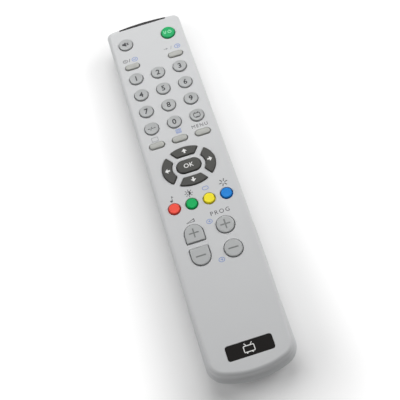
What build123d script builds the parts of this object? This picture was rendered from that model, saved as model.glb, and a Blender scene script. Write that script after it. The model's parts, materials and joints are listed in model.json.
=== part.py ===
from build123d import *
from math import atan2, cos, degrees, radians, sin, sqrt
import os

os.makedirs("parts", exist_ok=True)

# A hand-held television remote control, in millimetres.
# +Y points to the infrared head, +Z out of the key face, and the origin lies under the middle on the resting face.

# Overall form
length = 215.0  # head end to tail end
width = 44.0  # across the parting line
face_z = 18.5  # height of the flat key face
part_z = 9.5  # height of the parting line
head_arc = 190.0  # radius of the gently bowed head end
tail_arc = 44.0  # radius of the bowed tail end
head_corner = 6.0
tail_corner = 9.5
smallest_corner = 0.8  # no inner corner of a case is tighter
round_sides = 16  # flats around a round key, opening, post or cell
round_steps = 3  # flats across a rounded edge of a case

# Upper case section, from the parting line up
lip_rise = 1.1  # upright land above the parting line
flare_rise = 2.4  # concave flare above the land
flare_in = 1.9  # how far the flare draws in
wall_in = 0.4  # draft of the wall above the flare
shoulder = 1.9  # rounding between wall and face
face_wall = 2.0
side_wall = 1.8

# Lower case section, from the parting line down
seam_gap = 0.15  # shadow line between the two cases
seam_step = 0.25  # the lower case stands this far inside the upper
lower_in = 1.6  # draft of the lower wall down to the resting face
lower_round = 3.0
floor_wall = 1.8
tongue_wall = 0.9  # upstanding tongue that locates the upper case
tongue_root = 2.5
tongue_fit = 0.15

# Keys, placed along the body by their distance from the head end
column_edge = 9.3  # from the middle of an outer key column to the case's edge
power_row = 14.5
upper_oblong_row = 30.6
number_row = 39.6
number_pitch = 11.5
lower_oblong_row = 85.1
pad_row = 102.3
colour_row = 123.8
colour_edge = 8.2  # from the middle of an outer colour key to the case's edge
program_row = 140.1
program_pitch = 13.2
program_edge = 13.9  # from the programme keys' middle to the case's edge
volume_edge = 13.85
volume_row = 146.1  # middle of the strip between the two volume keys
volume_strip = 2.5

key_rise = 1.2  # height of a key's top over the face
key_travel = 1.0
key_gap = 0.27  # between a key and its opening
key_chamfer = 0.35
flange_reach = 0.5  # how far the retaining flange reaches past the opening
flange_thick = 0.8
number_hole = 8.1
power_hole = 8.5
colour_hole = 6.7
program_hole = 9.8
oblong_length = 8.8
oblong_width = 4.2
volume_width = 10.2
volume_length = 10.1
volume_corner = 0.6

# Arrow pad, with the OK key in its middle
pad_half_x = 14.4
pad_half_y = 11.8
pad_sides = 32  # flats around the pad's oval
ring_length = 17.6  # inner edge of the arrow openings, a slot form
ring_width = 12.0
ok_length = 13.6
ok_width = 8.2
strut_width = 3.0
strut_foot = 2.3  # where the slanted struts' centre lines cross the pad's long axis
strut_angle = 53.5

# Key mat and circuit board
board_top = 12.5
board_thick = 1.6
board_edge = 4.6  # from the board's long edges to the case's edge
board_head_gap = 8.0  # from the head end to the board's edge
board_tail_gap = 0.5  # from the battery bay to the board's edge
board_corner = 3.0
mat_thick = 1.0
mat_inset = 0.6  # the mat's edge lies inside the board's
plunger = 3.2
plunger_gap = 0.1  # left over the board when a key is fully down
well_gap = 0.6  # around a plunger in the mat
rest_width = 1.4  # ribs under the board's edges
rest_length = 8.0
rest_rows = (24.0, 84.0, 142.0)

# Infrared window and diode
window_edge = 8.0  # from the window's ends to the case's edge
window_bulge = 1.4  # how far its middle stands past its ends
window_low = 3.6
window_high = 16.9
window_thick = 1.6
window_lean = 1.3  # the upper part leans in by this much at its top
window_fit = 0.1
window_depth = 8.0  # how far the notch cuts into the cases
diode_dia = 5.0
diode_rim_dia = 5.8
diode_rim = 1.0
diode_length = 8.6
diode_nose = 1.2
diode_gap = 0.6  # behind the window
lead_width = 0.5
lead_pitch = 2.54
lead_run = 2.0

# Screws and their posts
screw_rows = (22.5, 131.0)
post_dia = 5.2
tower_dia = 7.4
post_meet = 7.4  # height where an upper post stands on its lower tower
post_gap = 0.3  # around a post in the board and the mat
pilot_dia = 2.6
pilot_end = 15.4
shank_dia = 2.5
shank_bore_dia = 2.9
screw_head_dia = 4.6
screw_head = 1.7
screw_length = 9.0
sink_dia = 5.2
sink_depth = 3.4
cross_length = 2.6
cross_width = 0.7
cross_depth = 0.9

# Battery bay, two cells side by side
cell_dia = 10.5
cell_length = 44.5
cell_edge = 0.5
nub_dia = 3.6
nub_length = 1.2
cell_spacing = 12.0
cell_floor = 0.5  # between the cells and the cover
cell_side = 0.3
contact_thick = 0.4
contact_width = 7.0
contact_height = 7.6
spring_depth = 3.6  # room that the pressed leaf contacts take
leaf_flat = 2.0
leaf_drop = 2.6
tab_width = 2.0
tab_gap = 0.2
tab_reach = 1.6  # how far a contact's tab reaches under the board
bay_wall = 1.2
bay_roof = 1.0
bay_tail_row = 7.0  # inner face of the bay's tail wall, from the tail end

# Battery cover
cover_wall = 1.6
cover_rise = 6.0  # height of the cover's outer wall
cover_joint = 0.2
tray_gap = 0.3  # between the cover's floor and the bay's walls
shelf_thick = 1.2
rail_wall = 1.2
rail_lip = 1.0
rail_reach = 1.6
rail_low = 2.6
rail_gap = 0.3
rail_end = 2.0  # the rails stop this far short of the cover's front edge
grip_radius = 7.0
grip_depth = 0.6
grip_row = 14.0  # thumb hollow's centre behind the cover's front edge
grip_bars = 3
grip_bar = 0.9
grip_pitch = 3.0

# Dark plate in the face
plate_length = 21.5
plate_width = 6.7
plate_thick = 0.8
plate_corner = 1.2
plate_row = 13.3  # from the tail end
plate_fit = 0.1
plate_sink = 0.05  # the plate's top lies this far under the face

# Parts soldered under the board
chip_length = 11.0
chip_width = 7.5
chip_thick = 2.3
chip_row = 112.0
chip_stand = 0.2
chip_pins = 8  # on each side
chip_pin_pitch = 1.27
chip_pin_width = 0.42
chip_pin_reach = 1.4
chip_pin_thick = 0.25
resonator_length = 7.4
resonator_width = 3.4
resonator_height = 5.2
resonator_row = 96.0
resonator_x = 8.5
capacitor_dia = 5.0
capacitor_length = 10.5
capacitor_row = 74.0
capacitor_x = -8.0
transistor_dia = 4.8
transistor_flat = 1.3
transistor_height = 4.6
transistor_row = 34.0
transistor_x = 7.0

# Places that follow from the sizes above
head_y = length / 2
tail_y = -length / 2
edge_x = width / 2
column_pitch = edge_x - column_edge
colour_pitch = (edge_x - colour_edge) / 1.5  # four keys in the row
program_x = edge_x - program_edge
volume_x = volume_edge - edge_x
board_half = edge_x - board_edge
window_half = edge_x - window_edge
key_top = face_z + key_rise
ceiling = face_z - face_wall
flange_bottom = ceiling - flange_thick
board_bottom = board_top - board_thick
plunger_bottom = board_top + key_travel + plunger_gap
bay_tail = tail_y + bay_tail_row
cell_tail = bay_tail + contact_thick
cell_head = cell_tail + cell_length
bay_head = cell_head + spring_depth
cell_x = cell_spacing / 2
cell_z = cover_wall + cell_floor + cell_dia / 2
channel_radius = cell_dia / 2 + cell_side
bay_half = cell_x + channel_radius
tray_half = bay_half + bay_wall
tray_low = cover_wall + tray_gap
tray_high = cell_z + channel_radius + bay_roof
shelf_low = cover_rise + cover_joint
rail_inner = tray_half + rail_reach + rail_gap
rail_top = rail_low + rail_lip + rail_gap + rail_lip
board_head = head_y - board_head_gap
board_tail = bay_head + bay_wall + board_tail_gap
plate_y = tail_y + plate_row
far = 2 * length  # longer than anything that is cut


def row_y(row):
    """A place along the body, from its distance to the head end."""
    return head_y - row


def write(node, shape):
    export_step(shape, f"parts/{node}.step")


def block(x, y, z):
    """A box between the two ends given for each axis."""
    size = (x[1] - x[0], y[1] - y[0], z[1] - z[0])
    middle = ((x[0] + x[1]) / 2, (y[0] + y[1]) / 2, (z[0] + z[1]) / 2)
    return Pos(*middle) * Box(*size)


def disc(diameter):
    return RegularPolygon(diameter / 2, round_sides)


def rod(diameter, x, y, z):
    """An upright rod between two heights."""
    return extrude(Pos(x, y, z[0]) * disc(diameter), z[1] - z[0])


def lying_rod(diameter, x, z, y):
    """A rod along Y between two ends."""
    return Pos(x, y[1], z) * Rot(90, 0, 0) * extrude(disc(diameter), y[1] - y[0])


def arc_points(x, y, radius, start, sweep):
    """Points along an arc, as many as round_sides gives a full turn."""
    steps = max(2, round(round_sides * sweep / 360))
    turns = [radians(start + sweep * step / steps) for step in range(steps + 1)]
    return [(x + radius * cos(turn), y + radius * sin(turn)) for turn in turns]


def plan_face(points):
    return make_face(Polyline(*points, close=True))


def soft_rectangle(long, wide, radius):
    """A rectangle with rounded corners."""
    x = long / 2 - radius
    y = wide / 2 - radius
    corners = ((x, y, 0), (-x, y, 90), (-x, -y, 180), (x, -y, 270))
    return plan_face([point for at_x, at_y, start in corners for point in arc_points(at_x, at_y, radius, start, 90)])


def slot_face(long, wide):
    """A slot form along X."""
    x = (long - wide) / 2
    return plan_face(arc_points(x, 0, wide / 2, -90, 180) + arc_points(-x, 0, wide / 2, 90, 180))


# Cases


def case_outline(inset=0.0):
    """The outline at the parting line, drawn in by inset, with its bowed ends kept concentric."""
    half = width / 2 - inset
    head_end = head_y - head_arc + sqrt((head_arc - inset) ** 2 - half**2)
    tail_end = tail_y + tail_arc - sqrt((tail_arc - inset) ** 2 - half**2)
    head = ThreePointArc((half, head_end), (0, head_y - inset), (-half, head_end))
    tail = ThreePointArc((-half, tail_end), (0, tail_y + inset), (half, tail_end))
    face = make_face([head, Line(head @ 1, tail @ 0), tail, Line(tail @ 1, head @ 0)])
    face = fillet(face.vertices().group_by(Axis.Y)[-1], max(head_corner - inset, smallest_corner))
    return fillet(face.vertices().group_by(Axis.Y)[0], max(tail_corner - inset, smallest_corner))


def band(low, low_inset, high, high_inset):
    """A stretch of the case between two heights, with straight flanks, drawn from its wider end."""
    draft = degrees(atan2(abs(high_inset - low_inset), high - low))
    form = extrude(case_outline(min(low_inset, high_inset)), high - low, taper=draft)
    if low_inset > high_inset:
        return Pos(0, 0, high) * Rot(0, 180, 0) * form
    return Pos(0, 0, low) * form


def stack(levels):
    """Bands one on the other through all the levels, each level a height and an inset."""
    return sum((band(*below, *above) for below, above in zip(levels[1:-1], levels[2:])), band(*levels[0], *levels[1]))


def rounded_edge(flat_z, wall_inset, radius):
    """Levels around an edge, from the flat face to the wall."""
    side = 1 if flat_z > part_z else -1
    turns = [radians(90 * step / round_steps) for step in range(round_steps + 1)]
    return [(flat_z - side * radius * (1 - cos(turn)), wall_inset + radius * (1 - sin(turn))) for turn in turns]


def edges_at(shape, height):
    slack = 0.01
    return shape.edges().filter_by_position(Axis.Z, height - slack, height + slack)


def upper_levels(inset):
    """The upper case's land and flare, drawn in by inset."""
    land_top = part_z + lip_rise
    return [(part_z, inset), (land_top, inset), (land_top + flare_rise, inset + flare_in)]


def upper_outside():
    """The outside of the upper case, with its rounded shoulder."""
    edge = rounded_edge(face_z, flare_in + wall_in, shoulder)
    return stack(upper_levels(0) + edge[::-1])


def upper_inside():
    return stack(upper_levels(side_wall) + [(ceiling, side_wall + flare_in + wall_in)])


def lower_outside():
    """The outside of the lower case and the battery cover together."""
    drawn_in = lower_in * (1 - lower_round / (part_z - seam_gap))
    edge = rounded_edge(0, seam_step + drawn_in, lower_round)
    return stack(edge + [(part_z - seam_gap, seam_step)])


def lower_inside(wall, floor):
    """The hollow of the lower half over a floor of that thickness."""
    return band(floor, seam_step + lower_in + wall, part_z, seam_step + wall)


def screw_places():
    return [(0, row_y(row)) for row in screw_rows]


def window_notch():
    half = window_half + window_fit
    return block((-half, half), (head_y - window_depth, head_y + window_depth), (window_low, window_high + window_fit))


def build_upper_case():
    shell = upper_outside() - upper_inside()
    for x, y in screw_places():
        shell += rod(post_dia, x, y, (post_meet, ceiling + face_wall / 2))
        shell -= rod(pilot_dia, x, y, (post_meet, pilot_end))
    shell -= extrude(Pos(0, 0, ceiling) * key_openings(), face_wall + key_rise)
    recess = soft_rectangle(plate_length + 2 * plate_fit, plate_width + 2 * plate_fit, plate_corner + plate_fit)
    depth = plate_thick + plate_sink
    shell -= extrude(Pos(0, plate_y, face_z - depth) * recess, depth + key_rise)
    return shell - window_notch()


def build_lower_case():
    shell = lower_outside() - lower_inside(side_wall, floor_wall)
    outer = side_wall + tongue_fit
    tongue = Pos(0, 0, part_z - tongue_root) * (case_outline(outer) - case_outline(outer + tongue_wall))
    shell += extrude(tongue, tongue_root + lip_rise - tongue_fit)
    shell -= block((-width, width), (-far, bay_head + cover_joint), (-face_z, shelf_low))
    shell += battery_bay()
    for side in (-1, 1):
        for row in rest_rows:
            x = sorted((side * board_half, side * (board_half - rest_width)))
            y = row_y(row)
            shell += block(x, (y - rest_length / 2, y + rest_length / 2), (floor_wall / 2, board_bottom))
    for x, y in screw_places():
        shell += rod(tower_dia, x, y, (floor_wall / 2, post_meet))
        shell -= rod(sink_dia, x, y, (0, sink_depth))
        shell -= rod(shank_bore_dia, x, y, (0, post_meet))
    return shell - window_notch()


def battery_bay():
    """Two round-roofed channels open below, on a shelf that spans the tail, with flanges for the cover's rails."""
    spread = band(shelf_low, seam_step + side_wall / 2, shelf_low + shelf_thick, seam_step + side_wall / 2)
    shelf = spread & block((-width, width), (-far, bay_head + bay_wall), (0, face_z))
    bulkhead = band(floor_wall / 2, seam_step + lower_in + side_wall / 2, shelf_low + shelf_thick, seam_step + side_wall)
    bulkhead &= block((-width, width), (bay_head, bay_head + bay_wall), (tray_low, face_z))
    tray = block((-tray_half, tray_half), (bay_tail - bay_wall, bay_head + bay_wall), (tray_low, tray_high))
    flange_half = tray_half + rail_reach
    flange = block((-flange_half, flange_half), (bay_tail, bay_head), (rail_low, rail_low + rail_lip))
    bay = shelf + bulkhead + tray + flange
    for x in (-cell_x, cell_x):
        bay -= lying_rod(2 * channel_radius, x, cell_z, (bay_tail, bay_head))
        bay -= block((x - channel_radius, x + channel_radius), (bay_tail, bay_head), (0, cell_z))
        slot_half = tab_width / 2 + tab_gap
        slot_z = (board_bottom - contact_thick - tab_gap, board_bottom + tab_gap)
        bay -= block((x - slot_half, x + slot_half), (bay_head - bay_wall, bay_head + 2 * bay_wall), slot_z)
    half = cell_x + contact_width / 2 + tab_gap
    slot_z = (cell_z - contact_height / 2 - tab_gap, cell_z + contact_height / 2 + tab_gap)
    return bay - block((-half, half), (bay_tail, cell_tail + tab_gap), slot_z)


def build_battery_cover():
    """The tail's underside with its outer wall, two hooked rails and a ridged thumb hollow."""
    shell = lower_outside() - lower_inside(cover_wall, cover_wall)
    shell &= block((-width, width), (-far, bay_head), (0, cover_rise))
    for side in (-1, 1):
        rib = sorted((side * rail_inner, side * (rail_inner + rail_wall)))
        lip = sorted((side * (tray_half + rail_gap), side * rail_inner))
        run = (bay_tail, bay_head - rail_end)
        shell += block(rib, run, (cover_wall / 2, rail_top))
        shell += block(lip, run, (rail_top - rail_lip, rail_top))
    grip = Pos(0, bay_head - grip_row, 0) * disc(2 * grip_radius)
    for step in range(grip_bars):
        offset = (step - (grip_bars - 1) / 2) * grip_pitch
        grip -= Pos(0, bay_head - grip_row + offset, 0) * Rectangle(1.4 * grip_radius, grip_bar)
    return shell - extrude(grip, grip_depth)


def build_plate():
    plate = soft_rectangle(plate_length, plate_width, plate_corner)
    return extrude(Pos(0, plate_y, face_z - plate_sink - plate_thick) * plate, plate_thick)


def window_section(inset, lean, height):
    """The window's plan at a height: a bowed outer edge and a straight inner one."""
    end_y = head_y - window_bulge - inset - lean
    outer = ThreePointArc((-window_half, end_y), (0, head_y - inset - lean), (window_half, end_y))
    inner_y = head_y - window_bulge - window_lean - 2 * window_thick
    corners = Polyline(outer @ 1, (window_half, inner_y), (-window_half, inner_y), outer @ 0)
    return Pos(0, 0, height) * make_face([outer, corners])


def window_form(inset, low, high):
    bend = part_z + lip_rise
    lower = extrude(window_section(inset, 0, low), bend - low)
    upper = loft([window_section(inset, 0, bend).face(), window_section(inset, window_lean, high).face()], ruled=True)
    return lower + upper


def build_window():
    """A bowed dark window with a hollow back."""
    hollow = window_form(window_thick, window_low + window_thick, window_high - window_thick)
    inner = window_half - window_thick
    hollow &= block((-inner, inner), (0, far), (0, face_z))
    return window_form(0, window_low, window_high) - hollow


# Keys


def volume_face(gap):
    """A key with a round end and a flat end."""
    half = volume_width / 2 - gap
    end = volume_length / 2 - gap
    corner_x = half - volume_corner
    corner_y = volume_corner - end
    points = arc_points(0, end - half, half, 0, 180)
    points += arc_points(-corner_x, corner_y, volume_corner, 180, 90)
    points += arc_points(corner_x, corner_y, volume_corner, 270, 90)
    return plan_face(points)


def arrow_faces(gap):
    """The four arrow keys' plans, in the order down, left, right, up."""
    turns = [radians(360 * step / pad_sides) for step in range(pad_sides)]
    oval = plan_face([((pad_half_x - gap) * cos(turn), (pad_half_y - gap) * sin(turn)) for turn in turns])
    pad = oval - slot_face(ring_length + 2 * gap, ring_width + 2 * gap)
    run = 2 * pad_half_x
    for mirror_x in (0, 180):
        for side in (-1, 1):
            strut = Pos(run / 2, 0) * Rectangle(run, strut_width + 2 * gap)
            pad -= Rot(0, 0, mirror_x) * Pos(strut_foot, 0) * Rot(0, 0, side * strut_angle) * strut
    down, *sides, up = pad.faces().sort_by(Axis.Y)
    left, right = sorted(sides, key=lambda face: face.center().X)
    return [down, left, right, up]


def round_plan(diameter):
    return lambda gap: disc(diameter - 2 * gap)


def oblong_plan(long, wide):
    return lambda gap: slot_face(long - 2 * gap, wide - 2 * gap)


def volume_plan(turn):
    return lambda gap: Rot(0, 0, turn) * volume_face(gap)


def plain_flange(long, wide):
    return Rectangle(long + 2 * flange_reach, wide + 2 * flange_reach)


def key_plan():
    """Every key but the arrows: its name, its plan as a function of the gap, its flange and its place."""
    number = (round_plan(number_hole), plain_flange(number_hole, number_hole))
    power = (round_plan(power_hole), plain_flange(power_hole, power_hole))
    colour = (round_plan(colour_hole), plain_flange(colour_hole, colour_hole))
    program = (round_plan(program_hole), plain_flange(program_hole, program_hole))
    oblong = (oblong_plan(oblong_length, oblong_width), plain_flange(oblong_length, oblong_width))
    centre = (oblong_plan(ok_length, ok_width), slot_face(ok_length + 2 * flange_reach, ok_width + 2 * flange_reach))
    louder = (volume_plan(0), plain_flange(volume_width, volume_length))
    softer = (volume_plan(180), plain_flange(volume_width, volume_length))
    volume_step = (volume_strip + volume_length) / 2

    keys = [("key_mute", *power, -column_pitch, power_row)]
    keys += [("key_power", *power, column_pitch, power_row)]
    keys += [("key_upper_left", *oblong, -column_pitch, upper_oblong_row)]
    keys += [("key_upper_right", *oblong, column_pitch, upper_oblong_row)]
    numbers = ["1", "2", "3", "4", "5", "6", "7", "8", "9", "digits", "0", "screen"]
    for place, name in enumerate(numbers):
        line, column = divmod(place, 3)
        row = number_row + line * number_pitch
        keys += [(f"key_{name}", *number, (column - 1) * column_pitch, row)]
    for column, name in enumerate(("left", "middle", "right")):
        keys += [(f"key_lower_{name}", *oblong, (column - 1) * column_pitch, lower_oblong_row)]
    keys += [("key_ok", *centre, 0, pad_row)]
    for place, name in enumerate(("red", "green", "yellow", "blue")):
        keys += [(f"key_{name}", *colour, (place - 1.5) * colour_pitch, colour_row)]
    keys += [("key_volume_up", *louder, volume_x, volume_row - volume_step)]
    keys += [("key_volume_down", *softer, volume_x, volume_row + volume_step)]
    keys += [("key_program_up", *program, program_x, program_row)]
    keys += [("key_program_down", *program, program_x, program_row + program_pitch)]
    return keys


def plunger_places():
    """Where each key presses on the board."""
    places = [(x, row_y(row)) for _, _, _, x, row in key_plan()]
    for face in arrow_faces(key_gap):
        places.append((face.center().X, row_y(pad_row) + face.center().Y))
    return places


def key_openings():
    """All the key openings of the upper case in one sketch."""
    openings = Sketch()
    for _, plan, _, x, row in key_plan():
        openings += Pos(x, row_y(row)) * plan(0)
    for face in arrow_faces(0):
        openings += Pos(0, row_y(pad_row)) * face
    return openings


def key_body(plan, flange, x=0.0, y=0.0):
    """A key cap with its edge taken off, its retaining flange under the ceiling and its plunger over the board."""
    cap = extrude(Pos(0, 0, flange_bottom) * plan, key_top - flange_bottom)
    cap = chamfer(edges_at(cap, key_top), key_chamfer)
    half = plunger / 2
    reach = (plunger_bottom, flange_bottom + flange_thick / 2)
    stem = block((x - half, x + half), (y - half, y + half), reach)
    return cap + extrude(Pos(0, 0, flange_bottom) * flange, flange_thick) + stem


def build_keys():
    keys = {}
    for name, plan, flange, x, row in key_plan():
        keys[name] = Pos(x, row_y(row), 0) * key_body(plan(key_gap), flange)
    names = ("down", "left", "right", "up")
    for name, plan, flange in zip(names, arrow_faces(key_gap), arrow_faces(-flange_reach)):
        body = key_body(plan, flange, plan.center().X, plan.center().Y)
        keys[f"key_{name}"] = Pos(0, row_y(pad_row), 0) * body
    return keys


# Board, mat and what is soldered on


def board_outline(inset):
    long = board_head - board_tail - 2 * inset
    middle = (board_head + board_tail) / 2
    outline = Rectangle(2 * (board_half - inset), long)
    outline = Pos(0, middle) * chamfer(outline.vertices(), board_corner)
    for x, y in screw_places():
        outline -= Pos(x, y) * disc(post_dia + 2 * post_gap)
    return outline


def build_board():
    return extrude(Pos(0, 0, board_bottom) * board_outline(0), board_thick)


def build_mat():
    """The rubber mat on the board, with a square well around each plunger."""
    outline = board_outline(mat_inset)
    side = plunger + 2 * well_gap
    for x, y in plunger_places():
        outline -= Pos(x, y) * Rectangle(side, side)
    return extrude(Pos(0, 0, board_top) * outline, mat_thick)


def build_chip():
    z = (board_bottom - chip_stand - chip_thick, board_bottom - chip_stand)
    y = row_y(chip_row)
    return block((-chip_length / 2, chip_length / 2), (y - chip_width / 2, y + chip_width / 2), z)


def build_chip_leads():
    """Two rows of bent leads from the chip's sides up to the board."""
    middle = board_bottom - chip_stand - chip_thick / 2
    half = chip_width / 2
    end = half + chip_pin_reach
    thick = chip_pin_thick
    outline = Polyline(
        (half, middle),
        (end, middle),
        (end, board_bottom),
        (end - thick, board_bottom),
        (end - thick, middle + thick),
        (half, middle + thick),
        close=True,
    )
    lead = extrude(Plane.YZ * make_face(outline), chip_pin_width / 2, both=True)
    leads = []
    for pin in range(chip_pins):
        x = (pin - (chip_pins - 1) / 2) * chip_pin_pitch
        for turn in (0, 180):
            leads.append(Pos(x, row_y(chip_row), 0) * Rot(0, 0, turn) * lead)
    return Compound(leads)


def build_resonator():
    plan = chamfer(Rectangle(resonator_length, resonator_width).vertices(), resonator_width / 4)
    place = Pos(resonator_x, row_y(resonator_row), board_bottom - resonator_height)
    return extrude(place * plan, resonator_height)


def build_capacitor():
    y = row_y(capacitor_row)
    ends = (y - capacitor_length / 2, y + capacitor_length / 2)
    return lying_rod(capacitor_dia, capacitor_x, board_bottom - capacitor_dia / 2, ends)


def build_transistor():
    """A round body with one flat side, standing head down under the board."""
    radius = transistor_dia / 2
    plan = disc(transistor_dia) - Pos(0, radius) * Rectangle(transistor_dia, 2 * transistor_flat)
    place = Pos(transistor_x, row_y(transistor_row), board_bottom - transistor_height)
    return extrude(place * plan, transistor_height)


def diode_back():
    return head_y - window_thick - diode_gap - diode_length


def diode_axis_z():
    return board_bottom - diode_rim_dia / 2


def build_diode():
    """A round-nosed diode that looks out through the window."""
    back = diode_back()
    nose = back + diode_length
    z = diode_axis_z()
    body = lying_rod(diode_dia, 0, z, (back, nose))
    body = chamfer(body.edges().group_by(Axis.Y)[-1], diode_nose)
    return body + lying_rod(diode_rim_dia, 0, z, (back, back + diode_rim))


def build_diode_leads():
    """Two square wires that leave the diode's back and turn up to the board."""
    back = diode_back()
    z = diode_axis_z()
    half = lead_width / 2
    leads = []
    for x in (-lead_pitch / 2, lead_pitch / 2):
        run = block((x - half, x + half), (back - lead_run, back), (z - half, z + half))
        rise = block((x - half, x + half), (back - lead_run, back - lead_run + lead_width), (z, board_bottom))
        leads.append(run + rise)
    return Compound(leads)


# Cells, contacts and screws


def build_cell(x, nub_to_head):
    """A cell with soft edges and its nub at one end."""
    can_end = cell_length - nub_length
    can = lying_rod(cell_dia, 0, 0, (0, can_end))
    can = chamfer(can.edges().group_by(Axis.Y)[0] + can.edges().group_by(Axis.Y)[-1], cell_edge)
    cell = can + lying_rod(nub_dia, 0, 0, (can_end - cell_edge, cell_length))
    if nub_to_head:
        return Pos(x, cell_tail, cell_z) * cell
    return Pos(x, cell_head, cell_z) * Rot(0, 0, 180) * cell


def build_bridge_contact():
    """One plate behind both cells at the tail end."""
    half = cell_x + contact_width / 2
    z = (cell_z - contact_height / 2, cell_z + contact_height / 2)
    return block((-half, half), (bay_tail, bay_tail + contact_thick), z)


def build_leaf_contact(x):
    """A plate on the bay's front wall, bent over into a leaf that presses on the cell, with a tab to the board."""
    top = cell_z + contact_height / 2
    low = cell_z - contact_height / 2
    thick = contact_thick
    crest = leaf_flat / 2
    outline = Polyline(
        (bay_head, low),
        (bay_head, top),
        (bay_head - 2 * thick, top),
        (cell_head, cell_z + crest),
        (cell_head, cell_z - crest),
        (cell_head + leaf_drop, low + thick),
        (cell_head + leaf_drop, low + 3 * thick),
        (cell_head + thick, cell_z - crest / 2),
        (cell_head + thick, cell_z + crest),
        (bay_head - 2 * thick, top - thick),
        (bay_head - thick, top - thick),
        (bay_head - thick, low),
        close=True,
    )
    leaf = extrude(Plane.YZ * make_face(outline), contact_width / 2, both=True)
    half = tab_width / 2
    reach = (bay_head - thick, bay_head + bay_wall + board_tail_gap + tab_reach)
    tab = block((-half, half), reach, (board_bottom - thick, board_bottom))
    return Pos(x, 0, 0) * (leaf + tab)


def build_screw(x, y):
    """A round-headed screw with a cross recess, seated against the floor of its sink."""
    head = rod(screw_head_dia, x, y, (sink_depth - screw_head, sink_depth))
    head = chamfer(edges_at(head, sink_depth - screw_head), screw_head / 3)
    screw = head + rod(shank_dia, x, y, (sink_depth, sink_depth + screw_length))
    low = sink_depth - screw_head
    for wide, deep in ((cross_length, cross_width), (cross_width, cross_length)):
        screw -= block((x - wide / 2, x + wide / 2), (y - deep / 2, y + deep / 2), (low, low + cross_depth))
    return screw


def main():
    write("upper_case", build_upper_case())
    write("lower_case", build_lower_case())
    write("battery_cover", build_battery_cover())
    write("face_plate", build_plate())
    write("ir_window", build_window())
    for name, key in build_keys().items():
        write(name, key)
    write("circuit_board", build_board())
    write("key_mat", build_mat())
    write("control_chip", build_chip())
    write("chip_leads", build_chip_leads())
    write("resonator", build_resonator())
    write("capacitor", build_capacitor())
    write("transistor", build_transistor())
    write("ir_diode", build_diode())
    write("diode_leads", build_diode_leads())
    write("cell_left", build_cell(-cell_x, False))
    write("cell_right", build_cell(cell_x, True))
    write("bridge_contact", build_bridge_contact())
    write("spring_contact", build_leaf_contact(-cell_x))
    write("button_contact", build_leaf_contact(cell_x))
    write("case_screws", Compound([build_screw(x, y) for x, y in screw_places()]))


main()
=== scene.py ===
import json
import math

import bmesh
import bpy
from mathutils import Matrix, Vector
from mathutils.geometry import delaunay_2d_cdt


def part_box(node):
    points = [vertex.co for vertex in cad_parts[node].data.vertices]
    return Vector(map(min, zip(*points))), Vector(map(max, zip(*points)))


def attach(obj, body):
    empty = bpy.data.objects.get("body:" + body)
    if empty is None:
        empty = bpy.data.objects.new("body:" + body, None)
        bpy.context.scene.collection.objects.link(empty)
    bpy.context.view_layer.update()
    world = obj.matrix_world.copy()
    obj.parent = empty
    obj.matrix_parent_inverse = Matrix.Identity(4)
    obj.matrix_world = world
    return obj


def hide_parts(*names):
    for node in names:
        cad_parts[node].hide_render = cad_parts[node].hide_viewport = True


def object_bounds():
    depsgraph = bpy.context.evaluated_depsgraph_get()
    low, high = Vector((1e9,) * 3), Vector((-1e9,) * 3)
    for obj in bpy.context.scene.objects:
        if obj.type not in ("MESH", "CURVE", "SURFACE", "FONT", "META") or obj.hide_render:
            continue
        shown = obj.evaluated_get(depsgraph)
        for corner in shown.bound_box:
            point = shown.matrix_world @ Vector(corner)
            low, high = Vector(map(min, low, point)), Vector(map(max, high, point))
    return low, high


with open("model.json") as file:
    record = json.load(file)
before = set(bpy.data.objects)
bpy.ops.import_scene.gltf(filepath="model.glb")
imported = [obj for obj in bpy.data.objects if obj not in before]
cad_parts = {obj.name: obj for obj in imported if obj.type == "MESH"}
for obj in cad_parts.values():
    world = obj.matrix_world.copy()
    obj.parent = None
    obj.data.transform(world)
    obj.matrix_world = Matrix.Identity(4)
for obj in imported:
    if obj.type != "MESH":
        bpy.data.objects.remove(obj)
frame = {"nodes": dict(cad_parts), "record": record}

# Sizes in this script are millimetres. meshOf turns them into metres.
mm = 0.001
cadBox = [[float(number) for number in corner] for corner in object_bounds()]
slots = {entry["node"]: entry["material_slot"] for entry in frame["record"]["subparts"]}


# Small tools

def boxOf(node):
    low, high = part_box(node)
    return [value / mm for value in low], [value / mm for value in high]


def middleOf(node):
    low, high = boxOf(node)
    return (low[0] + high[0]) / 2, (low[1] + high[1]) / 2


def inCamel(name):
    return "".join(part.capitalize() for part in name.split("_"))


def linearColour(*levels):
    parts = [level / 255 for level in levels]
    return [part / 12.92 if part <= 0.04045 else ((part + 0.055) / 1.055) ** 2.4 for part in parts] + [1.0]


def contains(outline, x, y):
    if not min(px for px, py in outline) < x < max(px for px, py in outline):
        return False
    inside = False
    for (firstX, firstY), (secondX, secondY) in zip(outline, outline[1:] + outline[:1]):
        if (firstY > y) != (secondY > y):
            if x < (secondX - firstX) * (y - firstY) / (secondY - firstY) + firstX:
                inside = not inside
    return inside


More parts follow.
